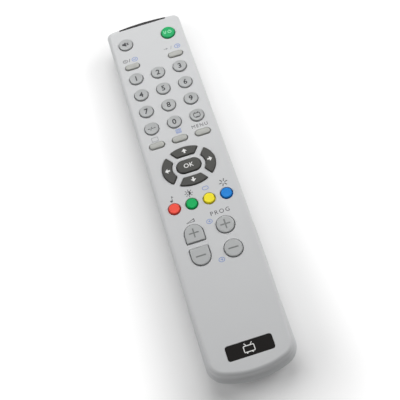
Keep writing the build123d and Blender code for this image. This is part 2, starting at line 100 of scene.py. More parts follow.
class Shell:
    # points and faces of one piece while it is drawn
    def __init__(self):
        self.points = []
        self.faces = []

    def ring(self, outline, height):
        first = len(self.points)
        self.points += [(x, y, height) for x, y in outline]
        return list(range(first, len(self.points)))

    def bridge(self, lower, upper):
        count = len(lower)
        for step in range(count):
            after = (step + 1) % count
            self.faces.append((lower[step], lower[after], upper[after], upper[step]))

    def stack(self, rings):
        for lower, upper in zip(rings, rings[1:]):
            self.bridge(lower, upper)

    def fill(self, outer, holes=(), up=True):
        loops = [outer, *holes]
        order = [index for loop in loops for index in loop]
        flat = [Vector(self.points[index][:2]) for index in order]
        edges = []
        first = 0
        for loop in loops:
            count = len(loop)
            edges += [(first + step, first + (step + 1) % count) for step in range(count)]
            first += count
        result = delaunay_2d_cdt(flat, edges, [], 1, 1e-6)
        openings = [[self.points[index][:2] for index in loop] for loop in holes]
        for face in result[2]:
            corners = [order[result[3][corner][0]] for corner in face]
            x = sum(self.points[corner][0] for corner in corners) / 3
            y = sum(self.points[corner][1] for corner in corners) / 3
            if not any(contains(opening, x, y) for opening in openings):
                self.faces.append(tuple(corners if up else reversed(corners)))

    def block(self, x, y, z):
        square = [(x[0], y[0]), (x[1], y[0]), (x[1], y[1]), (x[0], y[1])]
        low, high = self.ring(square, z[0]), self.ring(square, z[1])
        self.bridge(low, high)
        self.faces += [tuple(reversed(low)), tuple(high)]

    def prism(self, outline, low, high, holes=()):
        lowRings = [self.ring(loop, low) for loop in (outline, *holes)]
        highRings = [self.ring(loop, high) for loop in (outline, *holes)]
        for lower, upper in zip(lowRings, highRings):
            self.bridge(lower, upper)
        self.fill(highRings[0], highRings[1:])
        self.fill(lowRings[0], lowRings[1:], up=False)


def meshOf(name, shell):
    mesh = bpy.data.meshes.new(name)
    mesh.from_pydata([[value * mm for value in point] for point in shell.points], [], shell.faces)
    return mesh


def linked(name, data):
    item = bpy.data.objects.new(name, data)
    bpy.context.scene.collection.objects.link(item)
    return item


def bakedMesh(item):
    # an object's mesh with its modifiers, or the faces of a word
    view = bpy.context.evaluated_depsgraph_get()
    return bpy.data.meshes.new_from_object(item.evaluated_get(view), depsgraph=view)


def addPiece(name, shell, body, slot, stands=(), finish=None, sharp=35, weighted=False):
    # stands names the solids that the piece is drawn in place of
    mesh = meshOf(name, shell)
    work = bmesh.new()
    work.from_mesh(mesh)
    bmesh.ops.recalc_face_normals(work, faces=work.faces)
    work.to_mesh(mesh)
    work.free()
    mesh.shade_smooth()
    mesh.set_sharp_from_angle(angle=math.radians(sharp))
    mesh.materials.append(finish or finishes[slot])
    piece = linked(name, mesh)
    if weighted:
        normals = piece.modifiers.new("flat faces stay flat", "WEIGHTED_NORMAL")
        normals.keep_sharp = True
        normals.weight = 100
    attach(piece, body)
    if stands:
        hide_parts(*stands)
    return piece


# Outlines, each a closed run of points, anticlockwise

def arcPoints(x, y, radius, start, sweep, count):
    turns = [math.radians(start + sweep * step / count) for step in range(count + 1)]
    return [(x + radius * math.cos(turn), y + radius * math.sin(turn)) for turn in turns]


def roundOutline(diameter, count=64):
    return arcPoints(0, 0, diameter / 2, 0, 360, count)[:-1]


def slotOutline(long, wide, count=24):
    x = (long - wide) / 2
    return arcPoints(x, 0, wide / 2, -90, 180, count) + arcPoints(-x, 0, wide / 2, 90, 180, count)


def boxOutline(long, wide, corner, count=8):
    x, y = long / 2 - corner, wide / 2 - corner
    run = []
    for atX, atY, start in ((x, y, 0), (-x, y, 90), (-x, -y, 180), (x, -y, 270)):
        run += arcPoints(atX, atY, corner, start, 90, count)
    return run


def shifted(outline, x, y):
    return [(px + x, py + y) for px, py in outline]


def scaled(outline, x, y=1.0):
    return [(px * x, py * y) for px, py in outline]


def turned(outline, degrees):
    cosine, sine = math.cos(math.radians(degrees)), math.sin(math.radians(degrees))
    return [(x * cosine - y * sine, x * sine + y * cosine) for x, y in outline]


def between(first, second, part):
    # what lies a part of the way from one point to another
    return tuple(a + (b - a) * part for a, b in zip(first, second))


def grown(outline, distance):
    # moves each point out along the bisector of its two edges
    result = []
    count = len(outline)
    for index, (x, y) in enumerate(outline):
        beforeX, beforeY = outline[index - 1]
        afterX, afterY = outline[(index + 1) % count]
        first = Vector((y - beforeY, beforeX - x)).normalized()
        second = Vector((afterY - y, x - afterX)).normalized()
        middle = (first + second).normalized()
        reach = distance / max(middle.dot(first), 0.5)
        result.append((x + middle.x * reach, y + middle.y * reach))
    return result


# Finishes

noiseSpan = (0.25, 0.75)  # the values of the noise that meet the two ends of a range


def newFinish(name):
    finish = bpy.data.materials.new(name)
    finish.use_nodes = True
    tree = finish.node_tree
    place = tree.nodes.new("ShaderNodeTexCoord").outputs["Object"]
    return finish, tree, tree.nodes["Principled BSDF"], place


def addNoise(tree, place, scale, detail):
    noise = tree.nodes.new("ShaderNodeTexNoise")
    noise.inputs["Scale"].default_value = scale
    noise.inputs["Detail"].default_value = detail
    tree.links.new(place, noise.inputs["Vector"])
    return noise.outputs["Fac"]


def addRange(tree, value, source, target):
    # maps one pair of values onto another
    span = tree.nodes.new("ShaderNodeMapRange")
    for name, bound in zip(("From Min", "From Max", "To Min", "To Max"), (*source, *target)):
        span.inputs[name].default_value = bound
    tree.links.new(value, span.inputs["Value"])
    return span.outputs["Result"]


def addBlend(tree, factor, first, second):
    blend = tree.nodes.new("ShaderNodeMix")
    blend.data_type = "RGBA"
    blend.inputs["A"].default_value = first
    blend.inputs["B"].default_value = second
    tree.links.new(factor, blend.inputs["Factor"])
    return blend.outputs["Result"]


def addBump(tree, shader, height, depth, reach):
    bump = tree.nodes.new("ShaderNodeBump")
    bump.inputs["Strength"].default_value = depth
    bump.inputs["Distance"].default_value = reach * mm
    tree.links.new(height, bump.inputs["Height"])
    tree.links.new(bump.outputs["Normal"], shader.inputs["Normal"])


def moulded(name, colour, look):
    # moulded plastic: cloudy colour, uneven gloss and a fine spark-eroded grain
    finish, tree, shader, place = newFinish(name)
    base = linearColour(*colour)[:3]
    drift = look["cloudDepth"]
    darker = [part * (1 - drift) for part in base] + [1]
    lighter = [min(part * (1 + drift), 1) for part in base] + [1]
    cloud = addNoise(tree, place, look["cloudScale"], look["cloudDetail"])
    tree.links.new(addBlend(tree, cloud, darker, lighter), shader.inputs["Base Color"])
    gloss = addNoise(tree, place, look["glossScale"], look["detail"])
    rough = (look["rough"] - look["roughSwing"], look["rough"] + look["roughSwing"])
    tree.links.new(addRange(tree, gloss, noiseSpan, rough), shader.inputs["Roughness"])
    grain = addNoise(tree, place, look["grainScale"], look["detail"])
    addBump(tree, shader, grain, look["grainDepth"], look["grainReach"])
    shader.inputs["Specular IOR Level"].default_value = look["shine"]
    return finish


metalForm = {
    "streakScale": 900,
    "streakDetail": 4,
    "roughSwing": 0.08,
    "grainDepth": 0.15,
    "grainReach": 0.02,
}


def metal(name, colour, rough, stretch):
    # metal with streaks, drawn out where stretch isn't the same on all axes
    form = metalForm
    finish, tree, shader, place = newFinish(name)
    drawn = tree.nodes.new("ShaderNodeMapping")
    drawn.inputs["Scale"].default_value = stretch
    tree.links.new(place, drawn.inputs["Vector"])
    streak = addNoise(tree, drawn.outputs["Vector"], form["streakScale"], form["streakDetail"])
    span = (rough - form["roughSwing"], rough + form["roughSwing"])
    tree.links.new(addRange(tree, streak, noiseSpan, span), shader.inputs["Roughness"])
    shader.inputs["Base Color"].default_value = linearColour(*colour)
    shader.inputs["Metallic"].default_value = 1.0
    addBump(tree, shader, streak, form["grainDepth"], form["grainReach"])
    return finish


satin = {
    "cloudScale": 60,  # the scales are for a metre
    "cloudDetail": 3,
    "cloudDepth": 0.015,
    "glossScale": 220,
    "rough": 0.48,
    "roughSwing": 0.04,
    "grainScale": 5200,
    "grainDepth": 0.22,
    "grainReach": 0.03,
    "detail": 2,
    "shine": 0.3,
}
keySatin = dict(satin, rough=0.42, grainDepth=0.1, shine=0.22)
keyBright = dict(keySatin, shine=0.14)
glossy = dict(satin, rough=0.2, grainDepth=0.04, shine=0.5, cloudDepth=0.03)
inkAndShadeLook = dict(satin, rough=0.6, grainDepth=0.0, shine=0.2)

finishes = {
    "case_grey": moulded("case grey", (207, 208, 209), satin),
    "key_grey": moulded("key grey", (183, 185, 185), keySatin),
    "key_pale": moulded("oblong key grey", (182, 183, 178), keySatin),
    "pad_grey": moulded("pad grey", (78, 78, 75), keyBright),
    "power_green": moulded("power green", (34, 172, 102), keyBright),
    "key_red": moulded("key red", (254, 90, 74), keyBright),
    "key_green": moulded("key green", (8, 181, 95), keyBright),
    "key_yellow": moulded("key yellow", (255, 238, 52), keyBright),
    "key_blue": moulded("key blue", (32, 136, 224), keyBright),
    "plate_black": moulded("plate black", (28, 26, 25), dict(glossy, rough=0.4, shine=0.08)),
    "window_dark": moulded("window dark", (22, 17, 20), dict(glossy, shine=0.18)),
    "board_green": moulded("board green", (44, 98, 58), glossy),
    "mat_rubber": moulded("mat rubber", (186, 186, 180), dict(satin, rough=0.75)),
    "chip_black": moulded("chip black", (28, 28, 29), dict(satin, rough=0.55)),
    "tinned_metal": metal("tinned wire", (196, 196, 190), 0.35, (1, 1, 1)),
    "resonator_orange": moulded("resonator orange", (214, 110, 30), glossy),
    "capacitor_sleeve": moulded("capacitor sleeve", (30, 38, 76), glossy),
    "diode_lens": moulded("diode lens", (70, 72, 96), dict(glossy, rough=0.1)),
    "cell_jacket": moulded("cell jacket", (66, 72, 84), glossy),
    "contact_metal": metal("nickel contact", (206, 204, 196), 0.3, (1, 8, 1)),
    "screw_metal": metal("zinc screw", (168, 168, 166), 0.38, (1, 1, 1)),
}
inkAndShadeColours = {
    "dark": (70, 70, 72),
    "grey": (82, 82, 86),
    "faint": (150, 152, 156),
    # groove is painted shade: a darker grey laid in the plus and minus grooves of four keys
    "groove": (134, 137, 136),
    "blue": (118, 146, 208),
    "white": (238, 238, 236),
    "mint": (168, 240, 200),
}
# all of these are print, except the groove colour, which is painted shade
inkAndShadeFinishes = {name: moulded("ink " + name, colour, inkAndShadeLook) for name, colour in inkAndShadeColours.items()}
print("finishes ready")


# Upper case

caseForm = {
    "headArc": 190.0,
    "tailArc": 44.0,
    "headCorner": 6.0,
    "headCornerAbove": 4.5,  # over the lip the head corners are tighter
    "cornerRise": (0.3, 2.2),  # the heights over the parting line where they tighten
    "tailCorner": 9.5,
    "sideSteps": 40,
    "headSteps": 28,
    "headCornerSteps": 14,
    "tailSteps": 30,
    "tailCornerSteps": 18,
    "partZ": 9.5,
    "faceWall": 2.0,
    "sideWall": 1.8,
    "holeRound": 0.16,  # soft rim round each key opening
    "holeSteps": 3,
    # height over the parting line, distance in from the outline at the tail and at the head
    "flank": [(0.0, 0.34, 0.34), (0.1, 0.14, 0.14), (0.3, 0.0, 0.0), (0.7, 0.0, 0.0),
              (0.95, 0.06, 0.01), (1.12, 0.22, 0.02), (1.3, 0.5, 0.03), (1.48, 0.84, 0.04),
              (1.68, 1.2, 0.05), (1.9, 1.52, 0.06), (2.15, 1.78, 0.06), (2.5, 1.98, 0.07),
              (3.0, 2.12, 0.08), (3.8, 2.22, 0.09), (5.2, 2.28, 0.1), (6.7, 2.3, 0.11),
              (6.9, 2.3, 0.12), (7.1, 2.3, 0.16)],
    "flareStart": 130.0,  # distance from the head end where the tail's flare begins
    "flareReach": 85.0,
    "flarePower": 3,
    "shoulder": 1.9,
    "shoulderSteps": 10,
    "headShoulder": 2.3,
    "headShoulderInset": 0.11,
    "headLean": 0.75,  # how far more the wall stands in at the head end
    "leanRise": (0.6, 6.5),  # the heights over the parting line where it comes in
    "inner": [(1.1, 1.8), (3.5, 3.7), (7.0, 4.1)],  # heights and distances in for the inner wall
}
wholeLow, wholeHigh = boxOf("upper_case")
headY = boxOf("ir_window")[1][1]
tailY = wholeLow[1]
halfWidth = wholeHigh[0]
faceZ = wholeHigh[2]
ceilingZ = faceZ - caseForm["faceWall"]
partZ = max(wholeLow[2], caseForm["partZ"])


def caseWay(corner):
    # points of the outline with their outward directions, from the tail's right corner anticlockwise
    form = caseForm
    way = []
    headMiddle = headY - form["headArc"]
    headX = halfWidth - corner
    headFlat = headMiddle + math.sqrt((form["headArc"] - corner) ** 2 - headX ** 2)
    headTurn = math.degrees(math.atan2(headFlat - headMiddle, headX))
    tailMiddle = tailY + form["tailArc"]
    tailX = halfWidth - form["tailCorner"]
    tailFlat = tailMiddle - math.sqrt((form["tailArc"] - form["tailCorner"]) ** 2 - tailX ** 2)
    tailTurn = math.degrees(math.atan2(tailMiddle - tailFlat, tailX))

    def addSide(x, start, end, dx):
        for step in range(form["sideSteps"]):
            way.append((x, start + (end - start) * step / form["sideSteps"], dx, 0))

    def addArc(x, y, radius, start, end, count):
        for step in range(count):
            turn = math.radians(start + (end - start) * step / count)
            dx, dy = math.cos(turn), math.sin(turn)
            way.append((x + radius * dx, y + radius * dy, dx, dy))

    addSide(halfWidth, tailFlat, headFlat, 1)
    addArc(headX, headFlat, corner, 0, headTurn, form["headCornerSteps"])
    addArc(0, headMiddle, form["headArc"], headTurn, 180 - headTurn, form["headSteps"])
    addArc(-headX, headFlat, corner, 180 - headTurn, 180, form["headCornerSteps"])
    addSide(-halfWidth, headFlat, tailFlat, -1)
    addArc(-tailX, tailFlat, form["tailCorner"], 180, 180 + tailTurn, form["tailCornerSteps"])
    addArc(0, tailMiddle, form["tailArc"], 180 + tailTurn, 360 - tailTurn, form["tailSteps"])
    addArc(tailX, tailFlat, form["tailCorner"], 360 - tailTurn, 360, form["tailCornerSteps"])
    return way


lipWay = caseWay(caseForm["headCorner"])
wallWay = caseWay(caseForm["headCornerAbove"])


def caseOutline(inset):
    return [(x - dx * inset, y - dy * inset) for x, y, dx, dy in lipWay]


def smooth(value, low, high):
    part = min(max((value - low) / (high - low), 0), 1)
    return part * part * (3 - 2 * part)


def flankRing(shell, rise, tailInset, headInset):
    # one level of the flank: upright along the head, flared out at the tail
    form = caseForm
    tight = smooth(rise, *form["cornerRise"])
    lean = form["headLean"] * smooth(rise, *form["leanRise"])
    outline = []
    for lip, wall in zip(lipWay, wallWay):
        x, y, dx, dy = between(lip, wall, tight)
        out = Vector((dx, dy)).normalized()
        along = (headY - y - form["flareStart"]) / form["flareReach"]
        flare = min(max(along, 0), 1) ** form["flarePower"]
        inset = headInset + (tailInset - headInset) * flare
        inset += lean * max(out.y, 0) ** 2 * (1 - flare)
        outline.append((x - out.x * inset, y - out.y * inset))
    return shell.ring(outline, partZ + rise)


# Key outlines

keyForm = {
    "gap": 0.4,
    "arrowGap": 0.24,
    "colourGap": 0.62,
    "sink": 0.38,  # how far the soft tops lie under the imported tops
    "numberHole": 8.1,
    "powerHole": 8.5,
    "colourHole": 6.7,
    "programHole": 9.8,
    "oblongLong": 8.8,
    "oblongWide": 4.2,
    "volumeWide": 10.2,
    "volumeLong": 10.1,
    "volumeCorner": 0.7,
    "volumeCornerLeft": 0.05,
    "volumeArcSteps": 40,
    "volumeCornerSteps": 6,
    "okLong": 13.6,
    "okWide": 8.2,
    "edge": 0.3,
    "edgeSteps": 5,
    "dish": 0.42,
    "dishSteps": 14,
    "dishMiddle": 0.05,  # radius of the flat spot in its middle
    "powerDish": 0.2,
    "colourEdge": 0.36,
    "colourDish": 0.08,
    "crownFall": 0.12,
    "crownSteps": 6,
    "crownMiddle": 0.12,  # half the width of the flat strip along its middle
    "oblongEdge": 0.45,
    "okEdge": 0.5,
    "flatEdge": 0.4,
    "flatBand": 0.25,  # width of the first strip inside the edge
    "flangeThick": 0.8,
    "flangeGap": 0.02,
    "plunger": 3.2,
}
padForm = {
    "halfX": 14.4,
    "halfY": 11.8,
    "ringLong": 17.6,
    "ringWide": 12.0,
    "strutWide": 3.0,
    "strutFoot": 2.3,
    "strutAngle": 53.5,
    "corner": 0.8,
    "cornerParts": (0.2, 0.4, 0.6, 0.8),
    "cornerShrink": 0.6,  # how much smaller the corner of an outline further in gets
    "cornerLeft": 0.25,  # and the least that is left of it
    "ovalSteps": 240,
    "ringSteps": 80,
    "sideSteps": 40,
    "strutSteps": 6,
    "runSteps": (56, 8, 40, 8),  # steps along the outer arc, a strut, the inner arc and the other strut
    "halvings": 30,  # tries to find where an arc meets a strut
}


def volumeOutline(turn, inset):
    # half round at one end and square at the other
    form = keyForm
    half, end = form["volumeWide"] / 2 - inset, form["volumeLong"] / 2 - inset
    soft = max(form["volumeCorner"] - inset, form["volumeCornerLeft"])
    run = arcPoints(0, end - half, half, 0, 180, form["volumeArcSteps"])
    run += arcPoints(-half + soft, soft - end, soft, 180, 90, form["volumeCornerSteps"])
    run += arcPoints(half - soft, soft - end, soft, 270, 90, form["volumeCornerSteps"])
    return turned(run, turn)


def strutDistance(x, y):
    # how far a point lies from a strut's middle line, plus towards the side keys
    slope = math.radians(padForm["strutAngle"])
    return (abs(x) - padForm["strutFoot"]) * math.sin(slope) - abs(y) * math.cos(slope)


def arrowRun(path, side, upright, reach):
    # the part of a closed path that lies inside one arrow key
    def inside(point):
        aside = strutDistance(*point)
        if upright:
            return side * point[1] > 0 and aside < -reach
        return side * point[0] > 0 and aside > reach

    def crossing(outer, inner):
        for _ in range(padForm["halvings"]):
            middle = between(outer, inner, 0.5)
            outer, inner = (outer, middle) if inside(middle) else (middle, inner)
        return inner

    count = len(path)
    start = next(step for step in range(count) if inside(path[step]) and not inside(path[step - 1]))
    run = [crossing(path[start - 1], path[start])]
    step = start
    while inside(path[step % count]):
        run.append(path[step % count])
        step += 1
    run.append(crossing(path[step % count], path[(step - 1) % count]))
    return run


def evenly(run, count):
    # the same run with evenly spaced points
    lengths = [0.0]
    for first, second in zip(run, run[1:]):
        lengths.append(lengths[-1] + math.dist(first, second))
    result = []
    at = 0
    for step in range(count + 1):
        want = lengths[-1] * step / count
        while at < len(run) - 2 and lengths[at + 1] < want:
            at += 1
        part = (want - lengths[at]) / max(lengths[at + 1] - lengths[at], 1e-9)
        result.append(between(run[at], run[at + 1], part))
    return result


def softCorners(runs, radius):
    # joins runs end to end, with a rounded corner at each join
    def trimmed(run):
        gone = 0
        for step in range(1, len(run)):
            part = math.dist(run[step - 1], run[step])
            if gone + part > radius:
                return [between(run[step - 1], run[step], (radius - gone) / part)] + run[step:]
            gone += part
        return run[-1:]

    result = []
    short = [trimmed(trimmed(run)[::-1])[::-1] for run in runs]
    for index, run in enumerate(short):
        result += evenly(run, padForm["runSteps"][index])
        corner = runs[index][-1]
        after = short[(index + 1) % len(short)][0]
        for part in padForm["cornerParts"]:
            a, b, c = (1 - part) ** 2, 2 * part * (1 - part), part ** 2
            result.append(tuple(a * p + b * q + c * r for p, q, r in zip(run[-1], corner, after)))
    return result


def arrowOutline(name, inset):
    side = 1 if name in ("up", "right") else -1
    upright = name in ("up", "down")
    form = padForm
    oval = scaled(roundOutline(2, form["ovalSteps"]), form["halfX"] - inset, form["halfY"] - inset)
    ring = slotOutline(form["ringLong"] + 2 * inset, form["ringWide"] + 2 * inset, form["ringSteps"])
    dense = []
    for first, second in zip(ring, ring[1:] + ring[:1]):
        # only the two straight sides are longer than this
        parts = form["sideSteps"] if math.dist(first, second) > 2 else 1
        dense += [between(first, second, part / parts) for part in range(parts)]
    reach = form["strutWide"] / 2 + inset
    outer = arrowRun(oval, side, upright, reach)
    inner = arrowRun(dense, side, upright, reach)[::-1]

    def straight(first, second):
        steps = form["strutSteps"]
        return [between(first, second, part / steps) for part in range(steps + 1)]

    runs = [outer, straight(outer[-1], inner[0]), inner, straight(inner[-1], outer[0])]
    return softCorners(runs, max(form["corner"] - inset * form["cornerShrink"], form["cornerLeft"]))


def keyHoles():
    # for each key its opening's outline, given how far in from the edge, and its middle
    form = keyForm
    found = {}

    def put(name, outline, centre=None):
        found["key_" + name] = (outline, centre or middleOf("key_" + name))

    rounds = (("numberHole", [str(digit) for digit in range(10)] + ["digits", "screen"]),
              ("powerHole", ["mute", "power"]),
              ("colourHole", ["red", "green", "yellow", "blue"]))
    for hole, names in rounds:
        for name in names:
            put(name, lambda inset, wide=form[hole]: roundOutline(wide - 2 * inset))
    for name in ("upper_left", "upper_right", "lower_left", "lower_middle", "lower_right"):
        put(name, lambda inset: slotOutline(form["oblongLong"] - 2 * inset, form["oblongWide"] - 2 * inset))
    put("ok", lambda inset: slotOutline(form["okLong"] - 2 * inset, form["okWide"] - 2 * inset, 32))
    put("volume_up", lambda inset: volumeOutline(0, inset))
    put("volume_down", lambda inset: volumeOutline(180, inset))
    for name in ("program_up", "program_down"):
        put(name, lambda inset: roundOutline(form["programHole"] - 2 * inset, 80))
    for name in ("up", "down", "left", "right"):
        put(name, lambda inset, name=name: arrowOutline(name, inset), middleOf("key_ok"))
    return found


holes = keyHoles()


def quarterRound(radius, steps):
    # from the wall to the flat: distance in from the wall and depth under the flat
    turns = [math.radians(90 * step / steps) for step in range(steps + 1)]
    return [(radius * (1 - math.cos(turn)), radius * (1 - math.sin(turn))) for turn in turns]


plateForm = {
    "grow": (0.9, 0.35),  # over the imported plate, in length and width
    "shift": (0.4, -0.1),
    "corner": 1.25,
    "gap": 0.1,
    "rim": 0.08,  # the cut edge of the recess round the plate
    "edge": 0.12,
    "edgeSteps": 3,
}


def plateOutline(out):
    form = plateForm
    low, high = boxOf("face_plate")
    x, y = middleOf("face_plate")
    long, wide = (high[axis] - low[axis] + form["grow"][axis] + 2 * out for axis in (0, 1))
    return shifted(boxOutline(long, wide, form["corner"] + out), x + form["shift"][0], y + form["shift"][1])


windowForm = {
    "cut": 3.6,  # how far behind the head end the face is cut straight
    "cutReach": 8.0,  # how far the cutter runs to both sides of the head end
    "cutOver": 1.0,
    "gap": 0.1,
    "arc": 120.0,
    "lean": 1.1,
    "bendRise": 1.1,
    "bendEnd": 2.0,  # how far over the start of the rounded top the lean would end
    "wallSteps": 16,
    "topGap": 0.12,  # how far its top lies under the face
    "topRound": 1.3,
    "topSteps": 8,
    "topFlat": 0.02,  # the least depth of the flat top
    "backGap": 0.06,
    "columns": 40,
    "edge": 0.25,
    "edgeAngle": 60,
}


def cutNotch(piece):
    # the straight cut in the case for the window
    low, high = boxOf("ir_window")
    form = windowForm
    gap = form["gap"]
    behind, ahead, face = headY - form["cutReach"], headY + form["cutReach"], headY - form["cut"]
    under, step, over = low[2] - gap, high[2] + gap, faceZ + form["cutOver"]
    section = [(behind, under), (ahead, under), (ahead, over), (face, over), (face, step), (behind, step)]
    count = len(section)
    shell = Shell()
    for x in (low[0] - gap, high[0] + gap):
        shell.points += [(x, y, z) for y, z in section]
    shell.bridge(list(range(count)), list(range(count, 2 * count)))
    shell.faces += [tuple(reversed(range(count))), tuple(range(count, 2 * count))]
    notch = linked("notch", meshOf("notch", shell))
    cut = piece.modifiers.new("window notch", "BOOLEAN")
    cut.operation = "DIFFERENCE"
    cut.solver = "EXACT"
    cut.object = notch
    piece.modifiers.move(len(piece.modifiers) - 1, 0)
    solid = bakedMesh(piece)
    piece.modifiers.clear()
    piece.data = solid
    bpy.data.objects.remove(notch)


def upperCase():
    form = caseForm
    shell = Shell()
    levels = list(form["flank"])
    tailWall = levels[-1][1]
    radius = form["headShoulder"]
    for inset, depth in quarterRound(form["shoulder"], form["shoulderSteps"])[1:]:
        across = radius - math.sqrt(max(radius ** 2 - (radius - depth) ** 2, 0))
        levels.append((faceZ - partZ - depth, tailWall + inset, form["headShoulderInset"] + across))
    outer = [flankRing(shell, *level) for level in levels]
    shell.stack(outer)
    rims, lowRims = [], []
    for outline, (x, y) in holes.values():
        rings = []
        for inset, depth in quarterRound(form["holeRound"], form["holeSteps"])[::-1]:
            rings.append(shell.ring(shifted(outline(-inset), x, y), faceZ - depth))
        rings.append(shell.ring(shifted(outline(0), x, y), ceilingZ))
        shell.stack(rings[::-1])
        rims.append(rings[0])
        lowRims.append(rings[-1])
    recess = plateOutline(plateForm["gap"])
    rim = shell.ring(grown(recess, plateForm["rim"]), faceZ)
    neck = shell.ring(recess, faceZ - plateForm["rim"])
    floor = shell.ring(recess, boxOf("face_plate")[0][2])
    shell.stack([floor, neck, rim])
    shell.fill(floor)
    rims.append(rim)
    shell.fill(outer[-1], rims)
    innerLevels = [(0, form["sideWall"])] + form["inner"]
    inner = [shell.ring(caseOutline(inset), partZ + rise) for rise, inset in innerLevels]
    shell.stack(inner[::-1])
    shell.fill(inner[-1], lowRims, up=False)
    shell.bridge(inner[0], outer[0])
    piece = addPiece("upperCase", shell, "housing", "case_grey", ["upper_case"], sharp=40, weighted=True)
    cutNotch(piece)


upperCase()
print("upper case ready")


# Infrared window

def windowPiece():
    form = windowForm
    low, high = boxOf("ir_window")
    half = high[0]
    bend = partZ + form["bendRise"]
    top = faceZ - form["topGap"]
    curve = top - form["topRound"]
    back = headY - form["cut"] + form["backGap"]
    shell = Shell()
    grid = []
    for column in range(form["columns"] + 1):
        x = -half + 2 * half * column / form["columns"]
        arc = headY - form["arc"] + math.sqrt(form["arc"] ** 2 - x ** 2)
        section = []
        for step in range(form["wallSteps"] + 1):
            z = low[2] + (curve - low[2]) * step / form["wallSteps"]
            section.append((arc - form["lean"] * smooth(z, bend, curve + form["bendEnd"]), z))
        wall = section[-1][0]
        reach = min(form["topRound"], wall - back - form["topFlat"])
        for inset, depth in quarterRound(1, form["topSteps"])[1:]:
            section.append((wall - reach * inset, top - form["topRound"] * depth))
        section += [(back, top), (back, low[2])]
        grid.append([len(shell.points) + step for step in range(len(section))])
        shell.points += [(x, y, z) for y, z in section]
    shell.stack(grid)
    shell.faces += [tuple(grid[0]), tuple(reversed(grid[-1]))]
    piece = addPiece("irWindow", shell, "housing", "window_dark", ["ir_window"])
    soft = piece.modifiers.new("soft edges", "BEVEL")
    soft.width = form["edge"] * mm
    soft.segments = 3
    soft.limit_method = "ANGLE"
    soft.angle_limit = math.radians(form["edgeAngle"])


windowPiece()
print("window ready")


# Keys

arrowKeys = ("key_left", "key_right", "key_up", "key_down")
colourKeys = ("key_red", "key_green", "key_yellow", "key_blue")
# the last two entries lift and shrink the darker sheet in the plus and minus grooves, which is painted
# shade
signForm = {"reach": 2.55, "half": 0.36, "depth": 0.25, "grooveShadeRise": 0.1, "grooveShadeGap": 0.03}
flangeLow = ceilingZ - keyForm["flangeThick"]


def keyTop(node):
    return boxOf(node)[1][2] - keyForm["sink"]


def gapOf(node):
    if node in arrowKeys:
        return keyForm["arrowGap"]
    return keyForm["colourGap"] if node in colourKeys else keyForm["gap"]


def capShell(outline, centre, node, profile, grooves):
    # a cap from its flange to its top
    shell = Shell()
    top = keyTop(node)
    gap = gapOf(node)
    rings = [shell.ring(shifted(outline(gap), *centre), flangeLow)]
    for inset, depth in profile:
        rings.append(shell.ring(shifted(outline(gap + inset), *centre), top - depth))
    shell.stack(rings)
    shell.fill(rings[0], up=False)
    inner = []
    level = top - profile[-1][1]
    for groove in grooves:
        edge = shell.ring(shifted(groove, *centre), level)
        floor = shell.ring(shifted(groove, *centre), level - signForm["depth"])
        shell.bridge(floor, edge)
        shell.fill(floor)
        inner.append(edge)
    shell.fill(rings[-1], inner)
    return shell


def addFoot(shell, node):
    # the flange under the face and the plunger under it
    low, high = boxOf(node)
    half = keyForm["plunger"] / 2
    gap = keyForm["flangeGap"]
    x, y = middleOf(node)
    shell.block((low[0], high[0]), (low[1], high[1]), (flangeLow + gap, ceilingZ - gap))
    shell.block((x - half, x + half), (y - half, y + half), (low[2], flangeLow + 2 * gap))


def dishProfile(radius, edge, dish):
    # distance in from the cap's wall and depth under its top, for a top that is hollow
    profile = quarterRound(edge, keyForm["edgeSteps"])
    inner = radius - edge
    steps = keyForm["dishSteps"]
    for step in range(1, steps + 1):
        inset = edge + (inner - keyForm["dishMiddle"]) * step / steps
        along = (radius - inset) / inner
        profile.append((inset, dish * (1 - along ** 2)))
    return profile


def crownProfile(half, edge):
    # the same for a top that falls a little towards the edge
    fall = keyForm["crownFall"]
    profile = [(inset, depth + fall) for inset, depth in quarterRound(edge, keyForm["edgeSteps"])]
    steps = keyForm["crownSteps"]
    for step in range(1, steps + 1):
        inset = edge + (half - edge - keyForm["crownMiddle"]) * step / steps
        along = 1 - step / steps
        profile.append((inset, fall * along ** 2))
    return profile


def profileOf(node):
    form = keyForm
    name = node.removeprefix("key_")
    gap = gapOf(node)
    if name.isdigit() or name in ("digits", "screen"):
        return dishProfile(form["numberHole"] / 2 - gap, form["edge"], form["dish"])
    if name in ("mute", "power"):
        dish = form["dish"] if name == "mute" else form["powerDish"]
        return dishProfile(form["powerHole"] / 2 - gap, form["edge"], dish)
    if node in colourKeys:
        return dishProfile(form["colourHole"] / 2 - gap, form["colourEdge"], form["colourDish"])
    if name.startswith(("upper", "lower")):
        return crownProfile(form["oblongWide"] / 2 - gap, form["oblongEdge"])
    if name == "ok":
        return crownProfile(form["okWide"] / 2 - gap, form["okEdge"])
    return quarterRound(form["flatEdge"], form["edgeSteps"]) + [(form["flatEdge"] + form["flatBand"], 0.0)]


def signOutlines(name, inset):
    # the plus or minus in a key's top, or nothing
    reach, half = signForm["reach"] - inset, signForm["half"] - inset
    if name.endswith("_up"):
        corner = [(half, -reach), (half, -half), (reach, -half)]
        return [[point for step in range(4) for point in turned(corner, 90 * step)]]
    if name.endswith("_down"):
        return [[(-reach, -half), (reach, -half), (reach, half), (-reach, half)]]
    return []


def keyPieces():
    for node, (outline, centre) in holes.items():
        name = node.removeprefix("key_")
        shell = capShell(outline, centre, node, profileOf(node), signOutlines(name, 0))
        if node not in arrowKeys:
            addFoot(shell, node)
        addPiece("key" + inCamel(name), shell, node, slots[node], [node], sharp=40, weighted=True)


keyPieces()
print("keys ready")


# Plate

def platePiece():
    form = plateForm
    low, high = boxOf("face_plate")
    shell = Shell()
    rings = [shell.ring(plateOutline(0), low[2])]
    for inset, depth in quarterRound(form["edge"], form["edgeSteps"]):
        rings.append(shell.ring(plateOutline(-inset), high[2] - depth))
    shell.stack(rings)
    shell.fill(rings[0], up=False)
    shell.fill(rings[-1])
    addPiece("facePlate", shell, "housing", "plate_black", ["face_plate"], weighted=True)


platePiece()
print("plate ready")


# Printed marks

